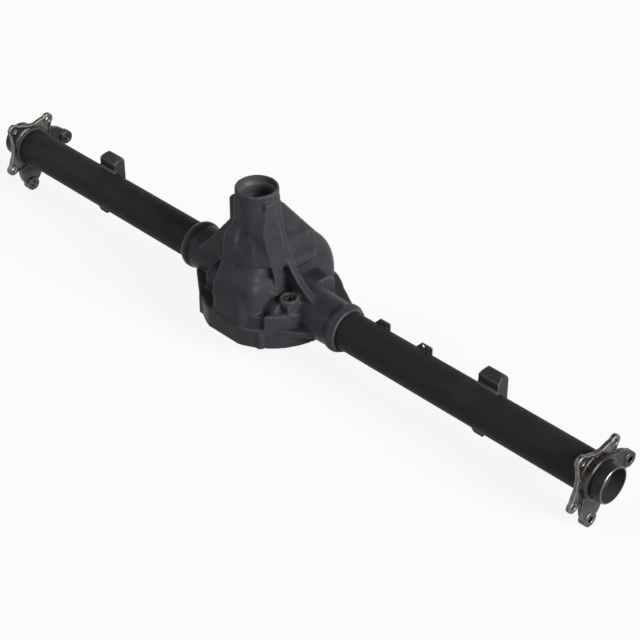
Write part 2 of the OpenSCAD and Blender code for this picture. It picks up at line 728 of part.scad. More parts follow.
carrier_casting();
fill_plug();
left_bearing_cap();
right_bearing_cap();
left_cap_bolts();
right_cap_bolts();
left_tube();
right_tube();
plug_welds();
left_tube_end();
right_tube_end();
left_brake_flange();
right_brake_flange();
left_flange_weld();
right_flange_weld();
left_spring_seat();
right_spring_seat();
left_seat_welds();
right_seat_welds();
left_rear_tab();
right_rear_tab();
left_tab_welds();
right_tab_welds();
inner_hose_bracket();
outer_hose_bracket();
bracket_welds();
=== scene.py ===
# %% [markdown]
# # Dressing a rear axle housing
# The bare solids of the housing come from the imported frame: a cast carrier in the middle, two tubes
# pressed and welded into it, and a forged brake flange near each end. This lesson gives each of them
# the skin that the real part has: sand-cast iron under dark paint, satin black tube, bare forged
# steel, and welds laid by hand. The frame is in metres. Sizes in this file are in millimetres, and MM
# turns them into metres.

# %% Load the frame
import math

import bmesh
import bpy
import numpy as np
from mathutils import Matrix, Vector


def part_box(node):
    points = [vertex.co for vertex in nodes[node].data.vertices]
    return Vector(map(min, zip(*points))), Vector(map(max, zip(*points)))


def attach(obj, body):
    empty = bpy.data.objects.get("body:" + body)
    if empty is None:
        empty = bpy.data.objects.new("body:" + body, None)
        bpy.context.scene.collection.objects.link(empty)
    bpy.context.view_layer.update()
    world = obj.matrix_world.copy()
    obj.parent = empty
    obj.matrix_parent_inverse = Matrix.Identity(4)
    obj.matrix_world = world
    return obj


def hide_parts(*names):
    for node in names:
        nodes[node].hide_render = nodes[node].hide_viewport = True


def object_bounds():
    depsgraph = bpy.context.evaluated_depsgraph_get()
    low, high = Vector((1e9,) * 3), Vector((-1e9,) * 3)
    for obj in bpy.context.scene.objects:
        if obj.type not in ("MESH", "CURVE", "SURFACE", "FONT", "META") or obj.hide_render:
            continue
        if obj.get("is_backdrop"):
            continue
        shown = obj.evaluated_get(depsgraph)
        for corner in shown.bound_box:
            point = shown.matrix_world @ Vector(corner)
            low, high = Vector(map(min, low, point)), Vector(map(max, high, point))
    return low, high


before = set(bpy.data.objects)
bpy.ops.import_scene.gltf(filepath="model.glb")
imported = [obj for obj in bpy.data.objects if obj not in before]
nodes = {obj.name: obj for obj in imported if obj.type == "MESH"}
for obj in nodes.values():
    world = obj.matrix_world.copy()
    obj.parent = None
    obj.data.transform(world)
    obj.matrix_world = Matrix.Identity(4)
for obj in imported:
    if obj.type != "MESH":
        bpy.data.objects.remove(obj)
cad_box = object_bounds()
MM = 0.001
SIDES = ("left", "right")
print("nodes:", len(nodes), "box in mm:", [[round(v / MM, 1) for v in corner] for corner in cad_box])

# %% [markdown]
# ## The camera
# The photograph looks down along the housing from the near end, from 36 degrees above the floor, with
# a long lens. The camera's three axes are worked out from those two angles, so that the picture has
# the same vanishing lines. The frame is square.

# %% Place the camera
AZIMUTH = math.radians(45.138)
ELEVATION = math.radians(35.825)
EYE = Vector((2.19885, -2.05391, 2.08772))
FOCAL_PIXELS = 1900
FRAME_PIXELS = 640
SENSOR = 36.0
FARTHEST = 60


def add_object(name, data):
    """An object for a mesh, a lamp or a camera, linked to the scene."""
    added = bpy.data.objects.new(name, data)
    bpy.context.scene.collection.objects.link(added)
    return added


right = Vector((math.cos(AZIMUTH), math.sin(AZIMUTH), 0))
back = Vector((math.sin(AZIMUTH) * math.cos(ELEVATION), -math.cos(AZIMUTH) * math.cos(ELEVATION),
               math.sin(ELEVATION)))
up = back.cross(right)
lens = bpy.data.cameras.new("studio_camera")
lens.sensor_width = lens.sensor_height = SENSOR
lens.lens = SENSOR * FOCAL_PIXELS / FRAME_PIXELS
lens.clip_end = FARTHEST
camera = add_object("studio_camera", lens)
camera.matrix_world = Matrix.Translation(EYE) @ Matrix((right, up, back)).transposed().to_4x4()
bpy.context.scene.camera = camera
print("lens:", round(lens.lens, 2), "mm")

# %% [markdown]
# ## Small helpers for shader nodes
# Every finish below is a handful of nodes that read Object coordinates, in metres, so a grain keeps
# its size on every piece. One helper starts a material, one adds a node and links its inputs, and the
# others make a noise of a stated grain size, mix two colours, or turn a number into a soft mask.

# %% Start a material and add nodes
def finish(name, roughness, metallic=0.0, specular=0.5):
    """A new material: its tree, its shader and the Object coordinates of the surface."""
    material = bpy.data.materials.new(name)
    material.use_nodes = True
    tree = material.node_tree
    shader = tree.nodes["Principled BSDF"]
    shader.inputs["Roughness"].default_value = roughness
    shader.inputs["Metallic"].default_value = metallic
    shader.inputs["Specular IOR Level"].default_value = specular
    place = tree.nodes.new("ShaderNodeTexCoord").outputs["Object"]
    return material, tree, shader, place


def put(tree, kind, links=(), **settings):
    """Adds a node, sets its properties, and feeds its inputs from a dict of sockets or plain values."""
    node = tree.nodes.new(kind)
    for key, value in settings.items():
        setattr(node, key, value)
    for key, value in dict(links).items():
        if isinstance(value, bpy.types.NodeSocket):
            tree.links.new(value, node.inputs[key])
        else:
            node.inputs[key].default_value = value
    return node


print("node helpers ready")

# %% Noise, masks and colours
def grain(tree, place, size_mm, detail=3.0, rough=0.55):
    """Noise whose blobs are about size_mm across: the scale of the noise is one over that size."""
    return put(tree, "ShaderNodeTexNoise", {"Vector": place, "Scale": 1 / (size_mm * MM), "Detail": detail,
                                            "Roughness": rough}).outputs["Fac"]


def shade(tree, factor, dark, light, low=0.35, high=0.65):
    """A colour between two, as the factor goes from low to high."""
    ramp = put(tree, "ShaderNodeValToRGB", {"Fac": factor})
    ramp.color_ramp.elements[0].position = low
    ramp.color_ramp.elements[1].position = high
    ramp.color_ramp.elements[0].color = (*dark, 1)
    ramp.color_ramp.elements[1].color = (*light, 1)
    return ramp.outputs["Color"]


def spread(tree, factor, low, high, start=0.3, stop=0.7):
    """A number that goes from low to high as the factor goes from start to stop."""
    return put(tree, "ShaderNodeMapRange", {"Value": factor, "From Min": start, "From Max": stop,
                                            "To Min": low, "To Max": high}).outputs["Result"]


def combine(tree, operation, first, second=0.0):
    """The product, difference or larger of two numbers, or one number without its sign."""
    return put(tree, "ShaderNodeMath", {0: first, 1: second}, operation=operation).outputs[0]


def blend(tree, mask, below, above):
    """One colour where the mask is 0 and the other where it is 1."""
    node = put(tree, "ShaderNodeMix", {0: mask}, data_type="RGBA")
    for socket, colour in ((node.inputs[6], below), (node.inputs[7], above)):
        if isinstance(colour, bpy.types.NodeSocket):
            tree.links.new(colour, socket)
        else:
            socket.default_value = (*colour, 1)
    return node.outputs[2]


def layer(tree, name):
    """A number that the piece's mesh carries at each of its points."""
    return put(tree, "ShaderNodeAttribute", attribute_name=name).outputs["Fac"]


def bumps(tree, shader, layers):
    """Chains bump nodes: each layer is (height socket, depth in mm, strength)."""
    normal = None
    for height, depth_mm, strength in layers:
        links = {"Height": height, "Distance": depth_mm * MM, "Strength": strength}
        if normal is not None:
            links["Normal"] = normal
        normal = put(tree, "ShaderNodeBump", links).outputs["Normal"]
    tree.links.new(normal, shader.inputs["Normal"])


print("pattern helpers ready")

# %% [markdown]
# ## Painted sand casting
# The carrier is grey iron poured in sand, then dipped in thin dark paint. The sand leaves a fine grain
# and the pour leaves slow waves. Both could be carved into the mesh, but they are finer than its
# faces, so they are bump. Handling rubs the paint thin on the ridges, and the ridges are lightened
# further as a painted highlight; the grooves are darkened as painted shade. So the mesh will carry a
# number, "edge", that tells ridges from grooves. A second number, "bare", marks the faces that a
# cutter went over after casting: they are bright metal.

# %% Paint of the casting
WAVE_MM, BLOTCH_MM, SAND_MM = 38, 9, 1.7


def cast_paint(name, dark, light, wear_and_highlight, groove_shade, cut):
    """Paint from dark to light in slow waves, worn and lightened as a painted highlight on ridges,
    painted shade in grooves, and cut metal where bare.
    """
    material, tree, shader, place = finish(name, 0.4, specular=0.08)
    waves = grain(tree, place, WAVE_MM, 2.0)
    blotch = grain(tree, place, BLOTCH_MM, 3.0, 0.6)
    sand = grain(tree, place, SAND_MM, 4.0, 0.6)
    edge = layer(tree, "edge")
    bare = layer(tree, "bare")
    # Painted highlight and wear: ridges lighten in blotches towards the lightest colour.
    ridge = combine(tree, "MULTIPLY", spread(tree, edge, 0, 1, start=0.25, stop=1.2),
                    spread(tree, blotch, 0.25, 1.0, start=0.35, stop=0.6))
    # Painted shade: grooves darken towards the darkest colour.
    groove = spread(tree, edge, 0.8, 0, start=-1.3, stop=-0.2)
    colour = blend(tree, ridge, shade(tree, waves, dark, light), wear_and_highlight)
    colour = blend(tree, groove, colour, groove_shade)
    tree.links.new(blend(tree, bare, colour, cut), shader.inputs["Base Color"])
    tree.links.new(bare, shader.inputs["Metallic"])
    tree.links.new(spread(tree, sand, 0.34, 0.5), shader.inputs["Roughness"])
    bumps(tree, shader, [(waves, 1.2, 0.25), (sand, 0.25, 0.3)])
    return material


CUT_IRON = (0.30, 0.30, 0.305)
# On each finish the lightest colour is wear and a painted highlight on ridges, and the darkest is painted shade in
# grooves.
casting_finish = cast_paint("painted_sand_casting", dark=(0.0255, 0.0265, 0.0295), light=(0.0330, 0.0340, 0.0370),
                            wear_and_highlight=(0.066, 0.066, 0.071), groove_shade=(0.012, 0.012, 0.0135), cut=CUT_IRON)
cap_finish = cast_paint("oiled_cap_iron", dark=(0.075, 0.075, 0.078), light=(0.11, 0.11, 0.112),
                        wear_and_highlight=(0.17, 0.17, 0.17), groove_shade=(0.04, 0.04, 0.04), cut=CUT_IRON)
print("casting finishes:", casting_finish.name, cap_finish.name)

# %% [markdown]
# ## Satin black tube
# The tubes are drawn steel under a smooth, nearly black coat. Drawing leaves very faint lines along
# the tube. A picture of scratches would need a seam, so a noise is stretched fiftyfold along X with a
# Mapping node instead. The brackets have the same coat, a little greyer, the seats a glossier one, and
# both are rubbed on their edges, which are also lightened as a painted highlight.

# %% Coat of the tubes
DRAWN_STRETCH = 50
DRAWN_MM, CLOUD_MM, RUB_AND_HIGHLIGHT_MM = 2.5, 60, 6


def tube_coat(name, dark, light, gloss, wear_and_highlight=None):
    """A coat from dark to light in wide clouds, with drawn lines along X, and, if a colour for them is given,
    ridges rubbed and lightened as a painted highlight.
    """
    material, tree, shader, place = finish(name, 0.55, specular=gloss)
    lengthwise = put(tree, "ShaderNodeMapping", {"Vector": place, "Scale": (1 / DRAWN_STRETCH, 1, 1)})
    drawn = grain(tree, lengthwise.outputs["Vector"], DRAWN_MM, 2.0)
    cloud = grain(tree, place, CLOUD_MM, 2.0)
    colour = shade(tree, cloud, dark, light)
    if wear_and_highlight:
        # Painted highlight and wear: ridges lighten in blotches towards the lightest colour.
        rub_and_highlight = combine(tree, "MULTIPLY", spread(tree, layer(tree, "edge"), 0, 1, start=0.25, stop=1.0),
                         spread(tree, grain(tree, place, RUB_AND_HIGHLIGHT_MM), 0.2, 1.0, start=0.35, stop=0.6))
        colour = blend(tree, rub_and_highlight, colour, wear_and_highlight)
    tree.links.new(colour, shader.inputs["Base Color"])
    tree.links.new(spread(tree, drawn, 0.48, 0.6), shader.inputs["Roughness"])
    bumps(tree, shader, [(drawn, 0.06, 0.25)])
    return material


tube_finish = tube_coat("satin_black_tube", dark=(0.0180, 0.0180, 0.0188), light=(0.0210, 0.0210, 0.0220), gloss=0.05)
# On the plate and the seat the lightest colour is wear and a painted highlight on ridges.
bracket_finish = tube_coat("satin_black_plate", dark=(0.050, 0.050, 0.052), light=(0.064, 0.064, 0.066), gloss=0.1,
                           wear_and_highlight=(0.13, 0.13, 0.132))
seat_finish = tube_coat("glossy_black_seat", dark=(0.0125, 0.0125, 0.0137), light=(0.0165, 0.0165, 0.0178),
                        gloss=0.25, wear_and_highlight=(0.11, 0.11, 0.115))
print("tube finishes:", tube_finish.name, bracket_finish.name, seat_finish.name)

# %% [markdown]
# ## Forged steel
# The brake flanges are bare forgings: brown-grey scale on the thin plate, darker grey on the thick
# arms and the hub, and bright steel on the rubbed edges, which are lightened further as a painted
# highlight. The grooves are darkened as painted shade. One colour would look like plastic. The mesh
# carries "arm" to tell the arms from the plate, so that one metal finish can do both.

# %% Steel of the flanges
SCALE_MM, PIT_MM, WEAR_AND_HIGHLIGHT_MM = 14, 1.2, 5


def forged_steel(name, plate_dark, plate_light, arm_tone, wear_and_highlight, groove_shade):
    """Metal from plate_dark to plate_light in flakes of scale, arm_tone on arms, worn ridges lightened as a
    painted highlight, and grooves darkened as painted shade.
    """
    material, tree, shader, place = finish(name, 0.4, metallic=1.0)
    scale = grain(tree, place, SCALE_MM, 4.0, 0.65)
    pits = grain(tree, place, PIT_MM, 3.0)
    edge = layer(tree, "edge")
    arm = layer(tree, "arm")
    colour = shade(tree, scale, plate_dark, plate_light, 0.3, 0.7)
    colour = blend(tree, combine(tree, "MULTIPLY", arm, spread(tree, scale, 0.75, 1.0)), colour, arm_tone)
    # Painted shade: grooves darken towards the darkest colour.
    colour = blend(tree, spread(tree, edge, 0.9, 0, start=-1.0, stop=-0.15), colour, groove_shade)
    # Painted highlight and wear: ridges lighten in blotches towards the light steel colour, less on the arms.
    rub_and_highlight = combine(tree, "MULTIPLY", spread(tree, edge, 0, 1, start=0.2, stop=0.9),
                     spread(tree, grain(tree, place, WEAR_AND_HIGHLIGHT_MM), 0.3, 1.0, start=0.3, stop=0.6))
    rub_and_highlight = combine(tree, "MULTIPLY", rub_and_highlight, spread(tree, arm, 1, 0.4, start=0, stop=1))
    tree.links.new(blend(tree, rub_and_highlight, colour, wear_and_highlight), shader.inputs["Base Color"])
    tree.links.new(spread(tree, scale, 0.48, 0.3), shader.inputs["Roughness"])
    bumps(tree, shader, [(scale, 0.3, 0.3), (pits, 0.12, 0.35)])
    return material


# The lightest colour is wear and a painted highlight on ridges, and the darkest painted shade in grooves.
flange_finish = forged_steel("forged_flange_steel", plate_dark=(0.085, 0.074, 0.067), plate_light=(0.16, 0.145, 0.132),
                             arm_tone=(0.024, 0.0245, 0.026), wear_and_highlight=(0.27, 0.26, 0.25), groove_shade=(0.032, 0.029, 0.027))
print("flange finish:", flange_finish.name)

# %% [markdown]
# ## Turned steel
# The stubs at the tube ends and the cap bolts were turned on a lathe, which leaves fine marks round
# the X axis. The stubs are blackened outside and a greyer black in their bores, and only the outer
# millimetre of the end face is bare metal. Distance from the axis tells bore from skin, and distance
# from the middle of the housing finds both end faces, so both stubs can share one finish.

# %% Steels with turning marks
MARK_MM = 0.8
MARK_SHARE = 0.03
SKIN_MM = 0.8


def turned_marks(tree, place):
    """Noise drawn out round the X axis, as a cutting tool leaves it."""
    across = put(tree, "ShaderNodeMapping", {"Vector": place, "Scale": (1, MARK_SHARE, MARK_SHARE)})
    return grain(tree, across.outputs["Vector"], MARK_MM, 2.0)


def oiled_steel(name, dark, light):
    """Oiled metal from dark to light along the turning marks."""
    material, tree, shader, place = finish(name, 0.34, metallic=1.0)
    marks = turned_marks(tree, place)
    tree.links.new(shade(tree, marks, dark, light), shader.inputs["Base Color"])
    tree.links.new(spread(tree, marks, 0.28, 0.42), shader.inputs["Roughness"])
    bumps(tree, shader, [(marks, 0.05, 0.3)])
    return material


def stub_coat(name, dark, light, bore, rim, bore_mm, middle_mm, reach_mm):
    """Black from dark to light beyond bore_mm from the X axis, bore inside it, and rim on the outer
    millimetre at the two ends, which lie reach_mm from middle_mm."""
    material, tree, shader, place = finish(name, 0.3, specular=0.12)
    marks = turned_marks(tree, place)
    flat = put(tree, "ShaderNodeVectorMath", {0: place, 1: (0, 1, 1)}, operation="MULTIPLY").outputs[0]
    radius = put(tree, "ShaderNodeVectorMath", {0: flat}, operation="LENGTH").outputs["Value"]
    inside = spread(tree, radius, 1, 0, start=(bore_mm - 0.4) * MM, stop=bore_mm * MM)
    along = put(tree, "ShaderNodeSeparateXYZ", {"Vector": place}).outputs["X"]
    from_middle = combine(tree, "ABSOLUTE", combine(tree, "SUBTRACT", along, middle_mm * MM))
    tip = spread(tree, from_middle, 0, 1, start=(reach_mm - 1.2) * MM, stop=(reach_mm - 0.8) * MM)
    colour = blend(tree, inside, shade(tree, marks, dark, light), bore)
    tree.links.new(blend(tree, tip, colour, rim), shader.inputs["Base Color"])
    tree.links.new(tip, shader.inputs["Metallic"])
    tree.links.new(spread(tree, marks, 0.26, 0.4), shader.inputs["Roughness"])
    bumps(tree, shader, [(marks, 0.05, 0.3)])
    return material


def box_mm(node):
    """The node's lowest and highest corners in millimetres."""
    return [np.array(corner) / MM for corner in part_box(node)]


right_end, stub_r = float(box_mm("right_tube_end")[1][0]), float(box_mm("right_tube_end")[1][2])
left_end = float(box_mm("left_tube_end")[0][0])
stub_finish = stub_coat("blackened_stub", dark=(0.015, 0.0152, 0.017), light=(0.020, 0.0203, 0.0225),
                        bore=(0.050, 0.050, 0.056), rim=(0.13, 0.13, 0.13), bore_mm=stub_r - SKIN_MM,
                        middle_mm=(right_end + left_end) / 2, reach_mm=(right_end - left_end) / 2)
bolt_finish = oiled_steel("oiled_bolt_steel", dark=(0.10, 0.10, 0.105), light=(0.16, 0.16, 0.165))
print("stub radius:", round(stub_r, 2), "mm, ends at", round(left_end, 1), "and", round(right_end, 1), "mm")

# %% [markdown]
# ## Numbers that a mesh carries
# A ridge is where a point stands out from its neighbours, and a groove is where it lies below them.
# Whole-array sums over the edges of the mesh give each point the mean of its neighbours, so no loop
# over points is needed. The same mean also relaxes a mesh: each point moves part of the way to it.

# %% Neighbour means and edge marks
class Neighbours:
    """The edges of a mesh as arrays, to average over the neighbours of every point at once."""

    def __init__(self, mesh):
        ends = np.empty(len(mesh.edges) * 2, np.int64)
        mesh.edges.foreach_get("vertices", ends)
        self.count = len(mesh.vertices)
        self.first, self.second = ends.reshape(-1, 2).T
        self.degree = np.maximum(np.bincount(ends, minlength=self.count), 1)

    def mean(self, values):
        """The mean of the neighbours' values, for one number or three a point."""
        if values.ndim == 2:
            return np.stack([self.mean(column) for column in values.T], 1)
        total = np.bincount(self.first, values[self.second], self.count)
        return (total + np.bincount(self.second, values[self.first], self.count)) / self.degree


def points_of(mesh):
    """The mesh's points as rows of three."""
    place = np.empty(len(mesh.vertices) * 3)
    mesh.vertices.foreach_get("co", place)
    return place.reshape(-1, 3)


def carry(mesh, name, values):
    """Stores one number a point under a name that materials can read."""
    mesh.attributes.new(name, "FLOAT", "POINT").data.foreach_set("value", values.astype(np.float32))


SHARPEST = 97


def mark_edges(mesh, rounds=1):
    """Ridges near 1, grooves near -1: the offset from the neighbours' mean along the normal, averaged over
    neighbours for some rounds, in units of the offset that SHARPEST of 100 points stay under."""
    around = Neighbours(mesh)
    place = points_of(mesh)
    normal = np.empty(len(mesh.vertices) * 3)
    mesh.vertex_normals.foreach_get("vector", normal)
    offset = ((place - around.mean(place)) * normal.reshape(-1, 3)).sum(1)
    for _ in range(rounds):
        offset = (offset + around.mean(offset)) / 2
    carry(mesh, "edge", offset / np.percentile(np.abs(offset), SHARPEST))


print("mesh helpers ready")

# %% [markdown]
# ## A soft skin from a solid
# Sand casting can't hold a sharp inside corner, so real castings have a fillet at every meeting of two
# walls. Bevelling every edge of the solid would be fragile. Instead a copy of the solid is rebuilt on
# an even voxel grid and then relaxed: neighbouring points pull together, which fills the corners and
# rounds the edges by about the same radius everywhere. The grid also joins any closed shapes that are
# put in with the solid. A weight holds back the parts that a lathe or a mill made crisp again.

# %% Soft copies of solids
WELD_GAP = 1e-6
HALF_WAY = 0.5


def gather(solids, extras, name):
    """One mesh with copies of the solids' faces, their doubles merged, and the extra closed shapes."""
    parts = bmesh.new()
    for node in solids:
        parts.from_mesh(nodes[node].data)
    bmesh.ops.remove_doubles(parts, verts=parts.verts, dist=WELD_GAP)
    for points, faces in extras:
        added = bpy.data.meshes.new("extra")
        added.from_pydata((points * MM).tolist(), [], faces)
        parts.from_mesh(added)
        bpy.data.meshes.remove(added)
    mesh = bpy.data.meshes.new(name)
    parts.to_mesh(mesh)
    parts.free()
    return mesh


def soft_copy(solids, name, voxel_mm, rounds, material, hold=None, extras=()):
    """A relaxed copy of one or more solids and extra closed shapes, in mm: voxel remesh at voxel_mm, then
    so many rounds of half steps to the neighbours' mean. hold gives each point the share that it takes."""
    rough = gather(solids, extras, "rough_" + name)
    piece = add_object(name, rough)
    rough.materials.append(material)
    remesh = piece.modifiers.new("voxels", "REMESH")
    remesh.mode = "VOXEL"
    remesh.voxel_size = voxel_mm * MM
    graph = bpy.context.evaluated_depsgraph_get()
    skin = bpy.data.meshes.new_from_object(piece.evaluated_get(graph))
    piece.modifiers.clear()
    piece.data = skin
    bpy.data.meshes.remove(rough)
    skin.name = name
    place = points_of(skin)
    around = Neighbours(skin)
    share = HALF_WAY if hold is None else HALF_WAY * hold(place / MM)[:, None]
    for _ in range(rounds):
        place += share * (around.mean(place) - place)
    skin.vertices.foreach_set("co", place.ravel())
    skin.polygons.foreach_set("use_smooth", np.ones(len(skin.polygons), bool))
    skin.update()
    mark_edges(skin)
    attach(piece, "root")
    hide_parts(*solids)
    print(name, "faces:", len(skin.polygons))
    return piece


print("soft copies ready")

# %% [markdown]
# ## Closed shapes to put in
# Some small forms of the real part are easier to add to the skin than to the solid: a flat facet, a
# swelling, a wall or a stud. Each is a closed surface that the voxel grid joins to the rest, so no
# boolean is needed. Two kinds are enough: a block with rounded edges, as a surface of latitude and
# longitude, and a prism, as a face carried along one direction.

# %% Rounded blocks and prisms
def grid_quads(rows, columns, wrap_rows=False):
    """The faces of a grid of points that closes round its columns, and round its rows if asked."""
    i, j = np.meshgrid(np.arange(rows if wrap_rows else rows - 1), np.arange(columns), indexing="ij")
    corner = lambda a, b: (a % rows) * columns + b % columns
    return np.stack([corner(i, j), corner(i, j + 1), corner(i + 1, j + 1), corner(i + 1, j)], -1).reshape(-1, 4)


def rounded_block(low, high, power=0.25, rows=24):
    """A closed block with rounded edges. By latitude u and longitude v, each of cos u cos v, cos u sin v
    and sin u is raised to a small power with its sign kept, and reaches from low to high."""
    low, high = np.minimum(low, high), np.maximum(low, high)
    u, v = np.meshgrid(np.linspace(-np.pi / 2, np.pi / 2, rows),
                       np.linspace(0, 2 * np.pi, 2 * rows, endpoint=False), indexing="ij")
    bulge = lambda value: np.sign(value) * np.abs(value) ** power
    shape = np.stack([bulge(np.cos(u)) * bulge(np.cos(v)), bulge(np.cos(u)) * bulge(np.sin(v)),
                      bulge(np.sin(u))], -1)
    return (low + high) / 2 + shape.reshape(-1, 3) * (high - low) / 2, grid_quads(rows, 2 * rows).tolist()


def prism(corners, depth):
    """A closed prism: P(i, t) = corner i + t depth, with both ends filled."""
    corners = np.array(corners, float)
    count = len(corners)
    sides = [[k, (k + 1) % count, count + (k + 1) % count, count + k] for k in range(count)]
    ends = [list(range(count - 1, -1, -1)), list(range(count, 2 * count))]
    return np.concatenate([corners, corners + depth]), sides + ends


print("faces of a block:", len(rounded_block((0, 0, 0), (1, 1, 1))[1]))

# %% [markdown]
# ## Facets of the carrier
# On the real carrier a flat panel slants down the right of the nose, flat facets lie in front of it,
# and the belly below swells where the gear turns inside. Two thin ridges run along the left web. In
# the solid these places are rounder. Sculpting would do, but can't be repeated, so each facet is a
# prism with its face where the photograph shows it and its depth sunk in the iron.

# %% Panel, facets, belly and ridges
# Corners that faces share: the panel's top at the front and the back, the nose above them, and its cheek
BROW, BROW_BACK = (49.9, -61.4, 167), (58.2, -26.5, 173)
NECK, NECK_BACK = (45, -50.5, 206), (48, -26.5, 210)
CHEEK = (18, -73, 165)
PANEL = [BROW, BROW_BACK, (67.6, -24.5, 137.8), (75.5, -25, 101.5), (73.5, -57.5, 73.6)]
RISE = [BROW, BROW_BACK, NECK_BACK, NECK]
FRONT = [BROW, (67, -58.7, 98), (35, -82, 100), CHEEK]
UPPER = [BROW, CHEEK, (22, -66.5, 200), NECK]
FACET = [(-10, -76, 149), (20, -70.5, 156), (38, -76, 124), (-6, -91, 117)]
PANEL_DEPTH, FRONT_DEPTH, FACET_DEPTH = (-23, 9, -6), (-6, 25, -3), (-6, 25, -8)
BELLY_LOW, BELLY_HIGH, BELLY_POWER = (-25, -113, -30), (66, -32, 78), 0.6
RIDGES = [((-125, -73.4, -12.5), (-104.4, -52.7, -12.5)), ((-114.8, -82.5, -12.5), (-94.3, -61.9, -12.5))]
RIDGE_R, RIDGE_SIDES = 1.6, 8


def ridge(start, stop):
    """A thin rod with RIDGE_SIDES sides: its rim is start + R (cos a side + sin a up), carried to stop."""
    ahead = np.subtract(stop, start)
    above = np.array([0, 0, 1])
    side = np.cross(ahead, above) / np.linalg.norm(ahead)
    a = np.radians(np.arange(0, 360, 360 / RIDGE_SIDES))[:, None]
    return prism(start + RIDGE_R * (np.cos(a) * side + np.sin(a) * above), ahead)


forms = [ridge(*ends) for ends in RIDGES]
forms += [prism(PANEL, PANEL_DEPTH), prism(RISE, PANEL_DEPTH), prism(FRONT, FRONT_DEPTH), prism(UPPER, FRONT_DEPTH),
          prism(FACET, FACET_DEPTH), rounded_block(BELLY_LOW, BELLY_HIGH, BELLY_POWER)]
print("forms added to the casting:", len(forms))

# %% [markdown]
# ## The carrier's skin
# The collars, the rim of the nose and the joint face are cut after casting, so they stay crisper than
# the rest. Relaxing everything alike would melt them, so a weight, worked out from the boxes in the
# frame, holds them back. The plug welds run into the iron of the bosses, and share its skin.

# %% What stays crisp
COLLAR_FADE, RIM_FADE, FACE_FADE = (32, 22), (34, 22), (6, 2)
PLUG_FADE, PLUG_DROP = (34, 26), (16, 8)
CUT_HOLD, PLUG_HOLD = 0.75, 0.55
casting_low, casting_high = box_mm("carrier_casting")
boss_end, nose_top, joint_z = casting_high[0], casting_high[2], casting_low[2]
plug_low, plug_high = box_mm("fill_plug")
plug_middle = ((plug_low + plug_high) / 2)[:2]


def step(values, low, high):
    """0 below low, 1 above high, straight between."""
    return np.clip((values - low) / (high - low), 0, 1)


def casting_hold(p):
    """A quarter step at the collars, the nose's rim and the joint face, less than half at the plug."""
    x, z = p[:, 0], p[:, 2]
    crisp = np.maximum(step(np.abs(x), boss_end - COLLAR_FADE[0], boss_end - COLLAR_FADE[1]),
                       step(z, nose_top - RIM_FADE[0], nose_top - RIM_FADE[1]))
    crisp = np.maximum(crisp, step(-z, -joint_z - FACE_FADE[0], -joint_z - FACE_FADE[1]))
    from_plug = np.hypot(*(p[:, :2] - plug_middle).T)
    near_plug = (step(-from_plug, -PLUG_FADE[0], -PLUG_FADE[1])
                 * step(z, plug_high[2] - PLUG_DROP[0], plug_high[2] - PLUG_DROP[1]))
    return 1 - CUT_HOLD * crisp - PLUG_HOLD * near_plug * (1 - crisp)


print("nose top:", round(nose_top, 1), "joint face:", round(joint_z, 1), "boss end:", round(boss_end, 1), "mm")

# %% Skin of the carrier
NOSE_Y = -30.0
BORE_R, BORE_EDGE, BORE_SHARE = 36.6, 0.6, 0.12
BORE_START, RIM_BAND = (150, 152), (2, 4)
FACE_BAND = (1.2, 0.6)
carrier = soft_copy(["carrier_casting", "plug_welds"], "cast_carrier", 2.6, 2, casting_finish,
                    casting_hold, forms)
place = points_of(carrier.data) / MM
from_pinion = np.hypot(place[:, 0], place[:, 1] - NOSE_Y)
joint_face = step(-place[:, 2], -joint_z - FACE_BAND[0], -joint_z - FACE_BAND[1])
seal_bore = (step(-from_pinion, -BORE_R - BORE_EDGE, -BORE_R) * step(place[:, 2], *BORE_START)
             * step(-place[:, 2], RIM_BAND[0] - nose_top, RIM_BAND[1] - nose_top))
cut_faces = np.maximum(joint_face, BORE_SHARE * seal_bore)
carry(carrier.data, "bare", cut_faces)
print("machined share of the casting's points:", round(float(cut_faces.mean()), 3))

# %% [markdown]
# ## Brake flanges
# Each flange is a forging with a thin plate and two thick arms for the caliper. The soft copy, on a
# finer grid, gives it forged edges. The two tones could be two materials with a hard border, but on
# the real part they fade, so the angle about the X axis and the distance from it mark the arms and
# The end of the lower arm is marked less, so it takes more of the plate's lighter tone.

# %% Flanges
LOW_ARM, HIGH_ARM = 265.0, 350.0
ARM_SPREAD, ARM_FADE = 38.0, 6.0
HUB_R, HUB_IN, HUB_OUT = 43.0, 2.0, 4.0
LOW_SPREAD, LOW_REACH, LOW_SHARE = (45, 35), (55, 70), 0.45


def turn_between(angle, other):
    """The angle between two directions in degrees, from 0 to 180."""
    return np.abs((angle - other + 540) % 360 - 180)


def forge_flange(side):
    """A flange with its arms marked."""
    flange = soft_copy([side + "_brake_flange"], side + "_forged_flange", 1.1, 2, flange_finish)
    y, z = points_of(flange.data)[:, 1:].T / MM
    angle = np.degrees(np.arctan2(z, y))
    radius = np.hypot(y, z)
    off = np.minimum(turn_between(angle, LOW_ARM), turn_between(angle, HIGH_ARM))
    beyond_hub = step(radius, HUB_R - HUB_IN, HUB_R + HUB_OUT)
    arm = np.maximum(step(-off, -ARM_SPREAD - ARM_FADE, -ARM_SPREAD + ARM_FADE) * beyond_hub,
                     step(-radius, -HUB_R - HUB_IN, -HUB_R))
    low_end = (step(-turn_between(angle, LOW_ARM), -LOW_SPREAD[0], -LOW_SPREAD[1])
               * step(radius, *LOW_REACH))
    carry(flange.data, "arm", arm * (1 - LOW_SHARE * low_end))


print("arms at", LOW_ARM, "and", HIGH_ARM, "degrees")

# %% [markdown]
# ## Spring seats and rear tabs
# A seat is a tray pressed from sheet, welded on the tube, and its ends are closed by walls that turn
# down beside the tube. A tab hangs behind it. The photograph shows no floor through the tab, so its
# hole is filled. The walls and the filling could be pieces of their own, but as rounded blocks in the
# soft copy they blend with the sheet, as pressing does.

